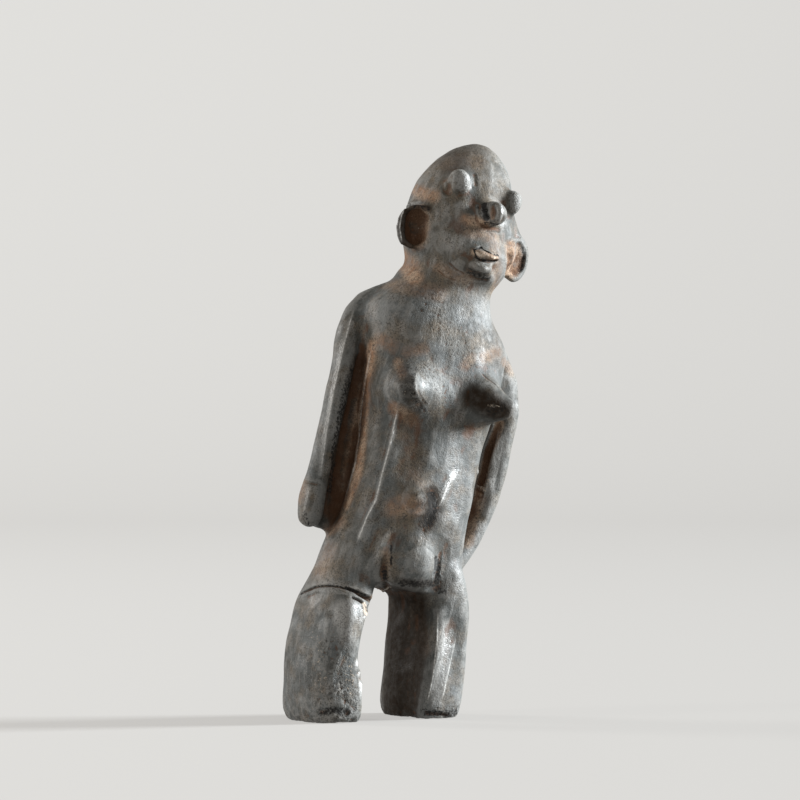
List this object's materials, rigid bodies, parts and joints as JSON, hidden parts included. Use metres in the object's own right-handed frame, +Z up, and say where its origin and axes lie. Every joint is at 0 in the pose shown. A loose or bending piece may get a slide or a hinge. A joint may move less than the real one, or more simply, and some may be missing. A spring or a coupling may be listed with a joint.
{
  "type": "clay human figure",
  "caption": "Hand-modelled clay figure of a standing woman with cup ears and webbed arms, broken at the knees and leaning sideways, as a museum or shelf piece.",
  "frame": {"origin": "middle of the bounding box at the undersides of the leg stumps", "axes": "+Z up; the figure faces -Y; its own left side is +X, the side it leans to"},
  "size_m": [0.155, 0.0816, 0.32],
  "materials": {
    "burnished_clay": "burnished dark grey slip, worn to brown clay in the hollows"
  },
  "bodies": {
    "root": {"figure": "burnished_clay"}
  },
  "joints": []
}
